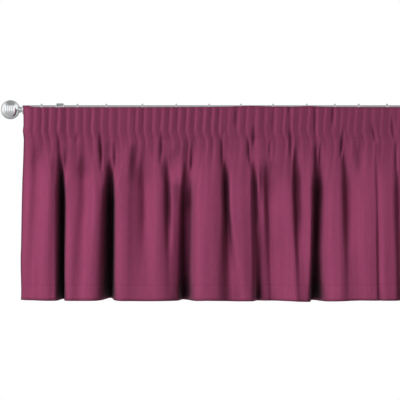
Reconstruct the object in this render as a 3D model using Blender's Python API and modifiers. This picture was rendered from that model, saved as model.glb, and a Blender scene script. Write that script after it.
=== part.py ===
"""Gathered window valance hanging from a pole with ball finials, rings and two wall brackets.

Metres, +Z up. The wall is the plane Y = 0 and the valance hangs in front of it, towards -Y. The origin
is the middle of the left wall plate's back face, and the pole runs along +X. The cloth is one sheet:
each line down it starts at its own pencil pleat in the heading and ends on a fold of the skirt, so the
pleats run together into the folds below the tape.
"""

from collections import namedtuple
import math

import bmesh
import bpy
import numpy as np
from mathutils import Matrix, Vector

# The pole, its brackets and its finials.
POLE_DIAMETER = 0.019
POLE_WALL = 0.0012
WALL_TO_POLE = 0.080
POLE_RISE = 0.022
BRACKET_SPAN = 1.1542
POLE_PAST_BRACKET = 0.076
FIT_GAP = 0.0003
BALL_DIAMETER = 0.0404
BALL_PAST_BRACKET = 0.1042
NECK_DIAMETER = 0.0116
BEAD_DIAMETER = 0.0136
CAP_DIAMETER = 0.0196
CAP_THICKNESS = 0.0025
SPIGOT_LENGTH = 0.018
COLLAR_DIAMETER = 0.027
COLLAR_WIDTH = 0.017
ARM_DIAMETER = 0.011
PLATE_WIDTH = 0.024
PLATE_HEIGHT = 0.062
PLATE_THICKNESS = 0.006
PLATE_CORNER = 0.009
PLATE_BEVEL = 0.0015

# The rings, each with an eye for a hook under it, by their place along the pole.
RING_BORE = 0.028
RING_WIRE = 0.003
EYE_RADIUS = 0.0033
EYE_WIRE = 0.002
EYE_OVERLAP = 0.0006
HOOK_WIRE = 0.0018
RING_PLACES = (
    -0.0387, 0.0366, 0.0972, 0.1729, 0.2436, 0.3126, 0.3795, 0.4468, 0.5175, 0.5761,
    0.6263, 0.6858, 0.7570, 0.8260, 0.8930, 0.9620, 1.0300, 1.1030, 1.1903,
)

# The cloth: hung sizes, the sheet's thickness, and the planes that it keeps to.
CLOTH_WIDTH = 1.300
CLOTH_DROP = 0.400
CLOTH_THICKNESS = 0.0015
CLOTH_TOP = POLE_RISE + 0.003
TAPE_TOP = 0.004
TAPE_BOTTOM = 0.063
TAPE_THICKNESS = 0.0010
TAPE_INSET = 6
TAPE_BACK = -0.0992
PLEAT_COUNT = 74
PLEAT_DEPTH = 0.0038
PLEAT_RIDGE = 0.28
PLEAT_START = 0.19
COLUMN_PHASES = (0.0, PLEAT_RIDGE, 0.62)
HEADING_RETURN = 0.006
SKIRT_RETURN = 0.018
FLARE_REACH = 0.060
RETURN_LENGTH = 0.045
EDGE_CURL = 0.003
CURL_LENGTH = 0.014
ROW_DROPS = (0.0, 0.064, 0.086, 0.112, 0.140, 0.172, 0.225, 0.300, 0.400)
COLUMNS_DROP = 0.250
LINE_STEP = 0.0004
BEND_REACH = 0.006
BLOCKS = 10

# A fold of the skirt is a valley between two rounded fronts. Millimetres: its place from the cloth's
# left end at the top of the skirt, half way down it and at the hem, the drop where it opens and over
# what length it deepens, its depth half way down, low down and at the hem, half the width of its left
# and right wall, how far its left and right shoulders spread, and how much wider it is at the hem.
Fold = namedtuple(
    "Fold", "top middle hem opens over depth low_depth hem_depth left right left_soft right_soft hem_wide"
)
FOLDS = (
    Fold(31, 28, 24, 58, 60, 9, 5, 3, 10, 13, 12, 26, 1),
    Fold(77, 77, 76, 88, 106, 66, 70, 74, 4.5, 7, 9, 13, 1),
    Fold(126, 127, 106, 64, 60, 10, 7, 4, 14, 8, 30, 12, 1),
    Fold(187, 176, 177, 92, 108, 78, 86, 88, 10, 9, 18, 15, 1.1),
    Fold(234, 232, 228, 56, 60, 7, 6, 4, 12, 14, 10, 12, 1),
    Fold(250, 249, 246, 78, 90, 19, 12, 8, 9, 13, 22, 20, 1),
    Fold(298, 299, 303, 92, 80, 21, 4, 1, 5, 7, 13, 12, 1),
    Fold(320, 320, 320, 110, 110, 12, 26, 26, 44, 16, 44, 14, 1),
    Fold(337, 334, 331, 98, 104, 46, 60, 74, 6.5, 20, 20, 18, 1.1),
    Fold(421, 423, 430, 94, 84, 34, 30, 26, 6, 8.5, 20, 30, 2.2),
    Fold(478, 482, 487, 98, 80, 26, 12, 14, 6, 9, 20, 16, 1.1),
    Fold(498, 496, 494, 110, 110, 18, 40, 50, 12, 40, 16, 46, 1),
    Fold(506, 510, 514, 98, 76, 20, 6, 0, 5, 9, 14, 20, 1),
    Fold(566, 567, 580, 78, 84, 34, 9, 5, 4.5, 8.5, 10, 24, 2),
    Fold(600, 600, 598, 120, 80, 6, 10, 14, 24, 14, 22, 14, 1),
    Fold(611, 611, 606, 90, 92, 52, 60, 80, 6, 11, 10, 30, 1.15),
    Fold(671, 674, 679, 86, 96, 25, 12, 9, 5.5, 11, 18, 36, 1.8),
    Fold(733, 738, 740, 66, 130, 4, 7, 6, 4, 6, 10, 8, 1),
    Fold(778, 784, 787, 92, 110, 19, 15, 15, 9, 12, 22, 18, 1),
    Fold(828, 824, 820, 88, 100, 42, 46, 50, 7, 12, 18, 20, 1),
    Fold(866, 868, 872, 76, 90, 9, 6, 6, 7, 7, 14, 14, 1),
    Fold(909, 905, 899, 96, 84, 30, 20, 12, 6, 10, 18, 18, 1.2),
    Fold(953, 958, 962, 88, 100, 54, 58, 62, 7, 14, 18, 20, 1),
    Fold(1003, 1002, 1000, 84, 90, 12, 8, 6, 7, 7, 18, 14, 1),
    Fold(1041, 1045, 1049, 92, 96, 36, 38, 40, 6.5, 11, 18, 20, 1),
    Fold(1089, 1085, 1082, 98, 80, 22, 10, 6, 6, 9, 16, 20, 1.3),
    Fold(1128, 1131, 1134, 86, 104, 54, 56, 58, 7, 12, 18, 18, 1),
    Fold(1176, 1174, 1172, 86, 84, 14, 10, 8, 7, 8, 16, 14, 1),
    Fold(1218, 1222, 1224, 86, 100, 42, 44, 46, 7, 12, 18, 18, 1),
    Fold(1268, 1269, 1274, 60, 50, 7, 5, 4, 9, 9, 12, 12, 1),
)
PLACE_DROPS = (85, 185, 400)
DEPTH_DROPS = (220, 300, 400)
NARROW_SHARE = 0.45
SHOULDER_SHARE = 0.24
WALL_POWER = 2.3
HALF_WAY = 0.55

# How far the points have gone from their pleat towards their fold, by the drop in millimetres.
GATHER_DROPS = (0, 64, 86, 112, 140, 400)
GATHER_SHARES = (0.0, 0.0, 0.40, 0.86, 1.0, 1.0)

# How far the ridges of the pleats are from an even spacing, by their place in millimetres.
SHIFT_PLACES = (
    5, 26, 41, 56, 74, 92, 126, 143, 180, 215, 400, 412, 430, 446, 465, 520, 600, 700, 820, 960, 1100, 1250
)
PLEAT_SHIFTS = (1, 3, 1, -2, -2.3, -1, -2, -3, -1, 1.2, 1, -1.7, -0.4, 2.7, 1.7, -2, 1, -2, 2, -1.5, 2, -1)

# The height of the pleats as a share of their greatest, by their place in millimetres.
HEIGHT_PLACES = (0, 230, 480, 620, 900, 1300)
PLEAT_HEIGHTS = (1.0, 0.95, 0.80, 0.45, 0.50, 0.75)

# How much of the pleats' height is left, their sideways sway, and where the cloth's front is, by the
# drop in millimetres. The heading leans out a little at its top.
FADE_DROPS = (0, 64, 86, 112, 172, 400)
FADE_SHARES = (1.0, 1.0, 0.62, 0.36, 0.0, 0.0)
SWAY_DROPS = (0, 64, 86, 112, 155, 400)
SWAY_SHIFTS = (1.0, 1.4, 5.4, 4.2, 1.5, 0.0)
FRONT_DROPS = (0, 64, 90, 130, 200, 400)
FRONT_DEPTHS = (-111.0, -101.6, -101.4, -102.5, -106.5, -115.0)

# How far the two ends of the cloth swing out sideways, by the drop in millimetres.
END_DROPS = (0, 64, 110, 151, 193, 296, 313, 337, 379, 400)
END_SHIFTS = (-2.4, -1.4, -3.4, -6.4, -7.4, -8.6, -9.4, -9.0, -7.6, -8.0)

# Where the cloth's top edge stands up: place, height and half width in millimetres.
TOP_RISES = ((6, 3.6, 12), (470, 1.8, 30), (592, 1.8, 18), (905, 1.6, 25), (1190, 1.5, 20))

CLOTH_LEFT = (BRACKET_SPAN - CLOTH_WIDTH) / 2
POLE_RADIUS = POLE_DIAMETER / 2


def smooth(share):
    """The usual smooth step of a share, from 0 to 1."""
    share = np.clip(share, 0, 1)
    return share * share * (3 - 2 * share)


def uneven(place, first, second, third):
    """A slow unevenness of about -1 to 1 along the cloth, from three waves of these lengths."""
    turn = 2 * math.pi * place
    waves = np.sin(turn / first + 0.6) + np.sin(turn / second + 2.1) + np.sin(turn / third + 4.0)
    return waves / 2.4


def end_return(place, depth):
    """How far the cloth turns back towards the wall near its two ends, most of all at its very edges."""
    from_end = np.minimum(place, CLOTH_WIDTH - place)
    curl = EDGE_CURL * (1 - np.clip(from_end / CURL_LENGTH, 0, 1)) ** 1.6
    return depth * (1 - np.clip(from_end / RETURN_LENGTH, 0, 1)) ** 2 + curl


def pleat_place(share):
    """Where a share of the cloth's flat width is along the heading."""
    return share * CLOTH_WIDTH + np.interp(share * CLOTH_WIDTH * 1000, SHIFT_PLACES, PLEAT_SHIFTS) / 1000


def pleat_relief(shares, drop):
    """How far the pencil pleats stand out on these lines: steep to the left, gentle to the right."""
    phase = np.mod(shares * PLEAT_COUNT - PLEAT_START, 1)
    up = np.minimum(phase / PLEAT_RIDGE, (1 - phase) / (1 - PLEAT_RIDGE))
    ridge = 0.3 * up + 0.7 * np.sin(math.pi / 2 * up)
    left = np.interp(drop * 1000, FADE_DROPS, FADE_SHARES)
    height = np.interp(shares * CLOTH_WIDTH * 1000, HEIGHT_PLACES, PLEAT_HEIGHTS)
    return PLEAT_DEPTH * left * height * (0.86 + 0.30 * uneven(shares, 0.21, 0.061, 0.039)) * ridge


def fold_place(fold, drop):
    """A fold's place across at this drop, in metres from the cloth's left end."""
    return np.interp(drop * 1000, PLACE_DROPS, (fold.top, fold.middle, fold.hem)) / 1000


def fold_relief(fold, place, drop):
    """How far a fold goes back at these places: from a narrow start it deepens and widens downwards."""
    down = (drop * 1000 - fold.opens) / fold.over
    at_hem = np.clip((drop / CLOTH_DROP - HALF_WAY) / (1 - HALF_WAY), 0, 1)
    grown = (NARROW_SHARE + (1 - NARROW_SHARE) * smooth(down)) * (1 + (fold.hem_wide - 1) * at_hem)
    depth = smooth(down) * np.interp(drop * 1000, DEPTH_DROPS, fold[5:8]) / 1000
    off = (place - fold_place(fold, drop)) * 1000
    wall = np.where(off < 0, fold.left, fold.right) * grown
    slot = np.exp(-((np.abs(off) / wall) ** WALL_POWER))
    spread = np.exp(-((off / (np.where(off < 0, fold.left_soft, fold.right_soft) * grown)) ** 2))
    return depth * ((1 - SHOULDER_SHARE) * slot + SHOULDER_SHARE * spread)


def front_depth(place, drop):
    """The depth of the cloth's front at these places across, without its pleats."""
    front = np.interp(drop * 1000, FRONT_DROPS, FRONT_DEPTHS) / 1000
    below = smooth((drop - TAPE_BOTTOM) / 0.1)
    turned = HEADING_RETURN + (SKIRT_RETURN - HEADING_RETURN) * below
    depth = front + end_return(place, turned) + 0.003 * below * uneven(place, 0.41, 0.27, 0.13)
    for fold in FOLDS:
        depth = depth + fold_relief(fold, place, drop)
    return depth


def column_places(shares):
    """Places across half way down, spaced along the folds there and closer where they bend."""
    place = np.arange(0, CLOTH_WIDTH + LINE_STEP, LINE_STEP)
    depth = front_depth(place, COLUMNS_DROP)
    lengths = np.hypot(np.diff(place), np.diff(depth))
    bends = np.abs(np.gradient(np.arctan2(np.diff(depth), np.diff(place))))
    along = np.concatenate([[0], np.cumsum(lengths + BEND_REACH * bends)])
    blocks = np.linspace(0, 1, BLOCKS + 1)
    share = np.interp(along, np.interp(blocks * CLOTH_WIDTH, place, along), blocks)
    return np.interp(shares, share, place)


def cloth_line(shares, drop):
    """The sheet's front line at this drop, each point between its pleat and its fold."""
    gathered = np.interp(drop * 1000, GATHER_DROPS, GATHER_SHARES)
    half_way = [0, *(fold_place(fold, COLUMNS_DROP) for fold in FOLDS), CLOTH_WIDTH]
    here = [0, *(fold_place(fold, drop) for fold in FOLDS), CLOTH_WIDTH]
    folded = np.interp(column_places(shares), half_way, here)
    sway = np.interp(drop * 1000, SWAY_DROPS, SWAY_SHIFTS) / 1000
    sway = sway * np.sin(math.pi * np.clip(shares, 0, 1)) ** 0.25
    place = (1 - gathered) * (pleat_place(shares) + sway) + gathered * folded
    depth = front_depth(place, drop) - pleat_relief(shares, drop)
    rise = sum(h * np.exp(-(((place * 1000 - at) / half) ** 2)) for at, h, half in TOP_RISES) / 1000
    height = CLOTH_TOP - drop + rise * (1 - smooth(drop / 0.060))
    end_shift = np.interp(drop * 1000, END_DROPS, END_SHIFTS) / 1000
    near_left = np.exp(-((place / FLARE_REACH) ** 2))
    near_right = np.exp(-(((CLOTH_WIDTH - place) / FLARE_REACH) ** 2))
    across = CLOTH_LEFT + place + end_shift * (near_left - near_right)
    return np.stack([across, depth, height], axis=1)


def clear_scene():
    for obj in list(bpy.data.objects):
        bpy.data.objects.remove(obj)


def make_collections():
    """The collection of the valance's pieces and the one of its cutters."""
    collections = []
    for name in ("window_valance", "cutters"):
        collection = bpy.data.collections.new(name)
        bpy.context.scene.collection.children.link(collection)
        collections.append(collection)
    return collections


def make_material(name, colour, roughness, metallic):
    material = bpy.data.materials.new(name)
    material.use_nodes = True
    surface = material.node_tree.nodes["Principled BSDF"]
    surface.inputs["Base Color"].default_value = (*colour, 1)
    surface.inputs["Roughness"].default_value = roughness
    surface.inputs["Metallic"].default_value = metallic
    return material


def add_object(name, data, collection, material=None):
    obj = bpy.data.objects.new(name, data)
    collection.objects.link(obj)
    if material is not None:
        data.materials.append(material)
    return obj


def mesh_from(shape, name):
    """A mesh of the bmesh, shaded smooth but for its sharp edges."""
    mesh = bpy.data.meshes.new(name)
    shape.to_mesh(mesh)
    shape.free()
    mesh.shade_smooth()
    mesh.set_sharp_from_angle(angle=math.radians(40))
    return mesh


def sheet_object(name, lines, thickness, collection, material):
    """A sheet through these rows of points, thickened backwards, away from its front."""
    shape = bmesh.new()
    rows = [[shape.verts.new(point) for point in line] for line in lines]
    for upper, lower in zip(rows, rows[1:]):
        for i in range(len(upper) - 1):
            shape.faces.new((upper[i], lower[i], lower[i + 1], upper[i + 1]))
    obj = add_object(name, mesh_from(shape, name), collection, material)
    solidify = obj.modifiers.new("thickness", "SOLIDIFY")
    solidify.thickness = thickness
    solidify.offset = -1
    return obj


def column_shares():
    """Shares of the cloth's flat width, one for each line of points down it."""
    starts = np.arange(-1, PLEAT_COUNT + 1) + PLEAT_START
    shares = (starts[:, None] + np.array(COLUMN_PHASES)) / PLEAT_COUNT
    inside = shares[(shares > 0.001) & (shares < 0.999)]
    return np.concatenate([[0], inside, [1]])


def make_cloth(collection, material):
    """The valance itself, with its hem and its folded top edge in the one sheet."""
    lines = [cloth_line(column_shares(), drop) for drop in ROW_DROPS]
    return sheet_object("valance_cloth", lines, CLOTH_THICKNESS, collection, material)


def behind(line, distance):
    """The line moved this far back from its own front, with its segments kept parallel."""
    steps = np.diff(line[:, :2], axis=0)
    normals = np.stack([-steps[:, 1], steps[:, 0]], axis=1) / np.linalg.norm(steps, axis=1)[:, None]
    before = np.concatenate([normals[:1], normals])
    after = np.concatenate([normals, normals[-1:]])
    middle = (before + after) / (1 + np.sum(before * after, axis=1))[:, None]
    moved = line.copy()
    moved[:, :2] += distance * middle
    return moved


def make_heading_tape(collection, material):
    """The pleating tape along the back of the heading, in the pleats that it gathers."""
    shares = column_shares()
    upper, lower = (cloth_line(shares, drop) for drop in ROW_DROPS[:2])
    lines = []
    for drop in (TAPE_TOP, TAPE_BOTTOM):
        share = drop / ROW_DROPS[1]
        line = behind(upper + (lower - upper) * share, CLOTH_THICKNESS + FIT_GAP)
        line[:, 2] = CLOTH_TOP - drop
        lines.append(line[TAPE_INSET:-TAPE_INSET])
    return sheet_object("heading_tape", lines, TAPE_THICKNESS, collection, material)


def turned(name, profile, steps, collection, material):
    """A turned piece about the local Z axis, from (radius, height) points from top to bottom."""
    shape = bmesh.new()
    points = [shape.verts.new((radius, 0, height)) for radius, height in profile]
    for one, two in zip(points, points[1:]):
        shape.edges.new((one, two))
    obj = add_object(name, mesh_from(shape, name), collection, material)
    screw = obj.modifiers.new("turn", "SCREW")
    screw.steps = steps
    screw.render_steps = steps
    screw.use_merge_vertices = True
    screw.merge_threshold = 0.00001
    screw.use_normal_calculate = True
    return obj


def arc_points(centre, radius, start, end, count):
    """(radius, height) points of a round stretch of a profile, its angles in degrees from the axis."""
    angles = [math.radians(start + (end - start) * i / (count - 1)) for i in range(count)]
    return [(radius * math.sin(a), centre + radius * math.cos(a)) for a in angles]


def make_pole(collection, material):
    """The tube, turned about its own axis and laid along X."""
    length = BRACKET_SPAN + 2 * POLE_PAST_BRACKET
    outer, inner = POLE_RADIUS, POLE_RADIUS - POLE_WALL
    profile = [(outer, length / 2), (outer, -length / 2), (inner, -length / 2), (inner, length / 2)]
    pole = turned("pole", profile + [profile[0]], 28, collection, material)
    pole.location = (BRACKET_SPAN / 2, -WALL_TO_POLE, POLE_RISE)
    pole.rotation_euler = (0, math.pi / 2, 0)
    return pole


def make_finial(name, side, collection, material):
    """A ball on a beaded neck, with a cap over the pole's end and a spigot in its bore."""
    ball = BALL_DIAMETER / 2
    neck = NECK_DIAMETER / 2
    cap_face = BALL_PAST_BRACKET - POLE_PAST_BRACKET - FIT_GAP
    ball_end = math.sqrt(ball**2 - neck**2)
    bead = BEAD_DIAMETER / 2
    spigot = POLE_RADIUS - POLE_WALL - FIT_GAP
    leave = math.degrees(math.asin(neck / ball))
    profile = arc_points(0, ball, 0, 180 - leave, 11)
    profile += [
        (bead, -ball_end - 0.0006),
        (bead, -ball_end - 0.0022),
        (neck, -ball_end - 0.0030),
        (neck, -cap_face + CAP_THICKNESS + 0.0012),
        (CAP_DIAMETER / 2, -cap_face + CAP_THICKNESS),
        (CAP_DIAMETER / 2, -cap_face),
        (spigot, -cap_face),
        (spigot, -cap_face - SPIGOT_LENGTH),
        (0, -cap_face - SPIGOT_LENGTH),
    ]
    finial = turned(name, profile, 20, collection, material)
    outwards = -BALL_PAST_BRACKET if side < 0 else BRACKET_SPAN + BALL_PAST_BRACKET
    finial.location = (outwards, -WALL_TO_POLE, POLE_RISE)
    finial.rotation_euler = (0, side * math.pi / 2, 0)
    return finial


def cylinder(shape, radius, length, sides, matrix):
    bmesh.ops.create_cone(
        shape, cap_ends=True, segments=sides, radius1=radius, radius2=radius, depth=length, matrix=matrix
    )


def cylinder_object(name, radius, length, sides, matrix, collection, material=None):
    shape = bmesh.new()
    cylinder(shape, radius, length, sides, matrix)
    return add_object(name, mesh_from(shape, name), collection, material)


def make_bracket(name, place, collection, cutters, material):
    """The arm from the wall plate with the collar that the pole passes through."""
    along_x = Matrix.Rotation(math.pi / 2, 4, "Y")
    along_y = Matrix.Rotation(math.pi / 2, 4, "X")
    middle = Vector((place, -WALL_TO_POLE, POLE_RISE))
    bracket = cylinder_object(
        name, COLLAR_DIAMETER / 2, COLLAR_WIDTH, 24, Matrix.Translation(middle) @ along_x, collection, material
    )
    front = -WALL_TO_POLE + COLLAR_DIAMETER / 2 - 0.002
    back = -PLATE_THICKNESS - FIT_GAP
    centre = Matrix.Translation((place, (front + back) / 2, POLE_RISE))
    arm = cylinder_object(name + "_arm", ARM_DIAMETER / 2, back - front, 16, centre @ along_y, cutters)
    bore = cylinder_object(
        name + "_bore", POLE_RADIUS + FIT_GAP, 2 * COLLAR_WIDTH, 28, Matrix.Translation(middle) @ along_x, cutters
    )
    for helper, operation in ((arm, "UNION"), (bore, "DIFFERENCE")):
        helper.hide_render = True
        helper.display_type = "WIRE"
        boolean = bracket.modifiers.new(helper.name, "BOOLEAN")
        boolean.operation = operation
        boolean.object = helper
    return bracket


def make_wall_plate(name, place, collection, material):
    """The plate that is screwed to the wall, its back in the plane Y = 0."""
    size = Matrix.Diagonal((PLATE_WIDTH, PLATE_THICKNESS, PLATE_HEIGHT, 1))
    shape = bmesh.new()
    bmesh.ops.create_cube(shape, size=1, matrix=Matrix.Translation((place, -PLATE_THICKNESS / 2, 0)) @ size)
    corners = [edge for edge in shape.edges if abs(edge.verts[0].co.y - edge.verts[1].co.y) > FIT_GAP]
    bmesh.ops.bevel(shape, geom=corners, offset=PLATE_CORNER, segments=4, profile=0.5, affect="EDGES")
    front = [
        edge for edge in shape.edges
        if all(vertex.co.y < -PLATE_THICKNESS / 2 for vertex in edge.verts)
    ]
    bmesh.ops.bevel(shape, geom=front, offset=PLATE_BEVEL, segments=2, profile=0.5, affect="EDGES")
    return add_object(name, mesh_from(shape, name), collection, material)


def torus_pattern(name, major, minor, around, across, height, rotation, cutters):
    """A helper ring of round wire, from the primitive."""
    bpy.ops.mesh.primitive_torus_add(
        location=(0, 0, height), rotation=rotation, major_radius=major, minor_radius=minor,
        major_segments=around, minor_segments=across,
    )
    ring = bpy.context.object
    ring.name = name
    for collection in ring.users_collection:
        collection.objects.unlink(ring)
    cutters.objects.link(ring)
    ring.hide_render = True
    ring.display_type = "WIRE"
    return ring


def ring_mesh(cutters):
    """A ring about the X axis with the eye joined on under it, its centre at the mesh's origin."""
    radius = (RING_BORE + RING_WIRE) / 2
    below = radius + RING_WIRE / 2 + EYE_RADIUS - EYE_WIRE / 2 - EYE_OVERLAP
    quarter = math.pi / 2
    bpy.context.view_layer.update()
    ring = torus_pattern("ring_pattern", radius, RING_WIRE / 2, 16, 4, 0, (0, quarter, 0), cutters)
    eye = torus_pattern("eye_pattern", EYE_RADIUS, EYE_WIRE / 2, 8, 3, -below, (quarter, 0, 0), cutters)
    boolean = ring.modifiers.new("eye", "BOOLEAN")
    boolean.operation = "UNION"
    boolean.object = eye
    graph = bpy.context.evaluated_depsgraph_get()
    mesh = bpy.data.meshes.new_from_object(ring.evaluated_get(graph))
    mesh.name = "ring"
    mesh.transform(ring.matrix_world)
    mesh.shade_smooth()
    mesh.set_sharp_from_angle(angle=math.radians(60))
    return mesh, -below


def make_rings(collection, cutters, material):
    """The rings as they hang on the pole, all of one mesh."""
    mesh, eye = ring_mesh(cutters)
    mesh.materials.clear()
    mesh.materials.append(material)
    height = POLE_RISE + POLE_RADIUS + FIT_GAP - RING_BORE / 2
    for number, place in enumerate(RING_PLACES, start=1):
        ring = bpy.data.objects.new(f"ring_{number:02d}", mesh)
        ring.location = (place, -WALL_TO_POLE, height)
        collection.objects.link(ring)
    return height + eye


def make_hooks(eye_height, collection, material):
    """Bent wire hooks, from behind the eye of each ring down the back of the tape."""
    rest = eye_height - EYE_RADIUS + (EYE_WIRE + HOOK_WIRE) / 2 + FIT_GAP
    down_tape = TAPE_BACK + HOOK_WIRE / 2 + FIT_GAP
    route = (
        (-WALL_TO_POLE + 0.0062, rest - 0.0052),
        (-WALL_TO_POLE + 0.0044, rest - 0.0010),
        (-WALL_TO_POLE, rest),
        (-WALL_TO_POLE - 0.0090, rest - 0.0020),
        (down_tape + 0.0010, rest - 0.0080),
        (down_tape, rest - 0.0140),
        (down_tape, rest - 0.0280),
    )
    for number, place in enumerate(RING_PLACES, start=1):
        curve = bpy.data.curves.new(f"hook_{number:02d}", "CURVE")
        curve.dimensions = "3D"
        curve.bevel_depth = HOOK_WIRE / 2
        curve.bevel_resolution = 0
        curve.use_fill_caps = True
        spline = curve.splines.new("POLY")
        spline.points.add(len(route) - 1)
        for point, (depth, height) in zip(spline.points, route):
            point.co = (0, depth, height, 1)
        hook = add_object(curve.name, curve, collection, material)
        hook.location = (place, end_return(place - CLOTH_LEFT, HEADING_RETURN), 0)


def main():
    clear_scene()
    parts, cutters = make_collections()
    cloth = make_material("plum_cloth", (0.30, 0.055, 0.125), 0.85, 0.0)
    tape = make_material("white_tape", (0.80, 0.78, 0.74), 0.90, 0.0)
    chrome = make_material("chrome", (0.78, 0.79, 0.80), 0.12, 1.0)
    hook_metal = make_material("hook_metal", (0.62, 0.62, 0.62), 0.35, 1.0)
    make_cloth(parts, cloth)
    make_heading_tape(parts, tape)
    make_pole(parts, chrome)
    for name, side, place in (("left", -1, 0), ("right", 1, BRACKET_SPAN)):
        make_finial(f"finial_{name}", side, parts, chrome)
        make_bracket(f"bracket_{name}", place, parts, cutters, chrome)
        make_wall_plate(f"wall_plate_{name}", place, parts, chrome)
    eye_height = make_rings(parts, cutters, chrome)
    make_hooks(eye_height, parts, hook_metal)


main()
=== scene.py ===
"""Window valance: plum cloth gathered on a pleating tape and hung from a chrome pole with ball ends."""

import math
from collections import namedtuple

import bpy
import numpy as np
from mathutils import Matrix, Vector


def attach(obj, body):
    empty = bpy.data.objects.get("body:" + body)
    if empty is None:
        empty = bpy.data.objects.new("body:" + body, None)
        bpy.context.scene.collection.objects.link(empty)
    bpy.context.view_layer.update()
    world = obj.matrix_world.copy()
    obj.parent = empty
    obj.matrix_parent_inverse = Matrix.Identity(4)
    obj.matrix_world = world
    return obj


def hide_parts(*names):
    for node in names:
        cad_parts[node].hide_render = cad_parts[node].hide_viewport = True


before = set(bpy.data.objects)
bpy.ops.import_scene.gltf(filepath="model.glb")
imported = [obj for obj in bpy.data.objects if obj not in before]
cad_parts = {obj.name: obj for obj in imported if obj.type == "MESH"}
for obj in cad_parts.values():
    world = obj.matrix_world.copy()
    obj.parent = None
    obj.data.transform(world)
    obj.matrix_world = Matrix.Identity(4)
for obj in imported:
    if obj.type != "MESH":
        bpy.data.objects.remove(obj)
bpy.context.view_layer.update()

# The pole and what is on it, in metres. The wall is the plane Y = 0.
POLE_RADIUS = 0.0095
POLE_WALL = 0.0012
POLE_DEPTH = -0.080
POLE_HEIGHT = 0.022
POLE_OVERHANG = 0.076
BRACKET_SPAN = 1.1542
FIT_GAP = 0.0003
BALL_RADIUS = 0.0202
BALL_PAST_BRACKET = 0.1042
NECK_RADIUS = 0.0058
BEAD_RADIUS = 0.0068
CAP_RADIUS = 0.0098
CAP_THICKNESS = 0.0025
SPIGOT_LENGTH = 0.018
COLLAR_RADIUS = 0.0135
COLLAR_WIDTH = 0.017
COLLAR_EDGE = 0.0030
ARM_INSET = 0.003
ARM_RADIUS = 0.0055
PLATE_SIZE = (0.024, 0.006, 0.062)
PLATE_CORNER = 0.009
PLATE_EDGE = 0.0015
RING_RADIUS = 0.0155
RING_WIRE = 0.0015
EYE_RADIUS = 0.0033
EYE_WIRE = 0.0010
EYE_OVERLAP = 0.0006
HOOK_WIRE = 0.0009
RING_PLACES = (
    -0.0387, 0.0366, 0.0972, 0.1729, 0.2436, 0.3126, 0.3795, 0.4468, 0.5175, 0.5761,
    0.6263, 0.6858, 0.7570, 0.8260, 0.8930, 0.9620, 1.0300, 1.1030, 1.1903,
)

# The cloth as it hangs, and the flat width that its pleats take up.
CLOTH_WIDTH = 1.300
CLOTH_DROP = 0.400
FLAT_WIDTH = 1.950
CLOTH_LEFT = (BRACKET_SPAN - CLOTH_WIDTH) / 2
CLOTH_TOP = POLE_HEIGHT + 0.003
HEADING_RETURN = 0.006
SKIRT_RETURN = 0.018
RETURN_LENGTH = 0.045
FLARE_REACH = 0.060
PLEAT_COUNT = 74
PLEAT_DEPTH = 0.0038
PLEAT_RIDGE = 0.28
PLEAT_START = 0.19
COLUMN_PHASES = (0.0, 0.07, 0.14, 0.21, 0.28, 0.38, 0.50, 0.63, 0.76, 0.89)
TAPE_TOP = 0.004
TAPE_BOTTOM = 0.063
TAPE_INSET = 0.016
TAPE_THICKNESS = 0.0008
TAPE_BACK = -0.0992
HEM_HEIGHT = 0.033
DOUBLE_CLOTH = 0.0026
COLUMNS_DROP = 0.250
LINE_STEP = 0.0004
BEND_REACH = 0.006
BLOCKS = 10
SHOULDER_SHARE = 0.24
WALL_POWER = 2.3
HALF_WAY = 0.55
EDGE_CURL = 0.006
CURL_LENGTH = 0.016

# How steeply the cloth's curves run out, how far they stray, and how the rows of its points are laid.
CURL_POWER = 1.6
CREASE_POWER = 1.3
SWAY_POWER = 0.25
RIDGE_ROUND = 0.7
REACH_STRAY = 0.18
REACH_DROP = 0.062
FRONT_STRAY = 0.003
TURN_LENGTH = 0.1
RISE_FADE = 0.060
SAG_POWER = 2
TAPE_ROWS = 13
END_MARGIN = 0.0004
SINGLE_SHARE = 0.5

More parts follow.
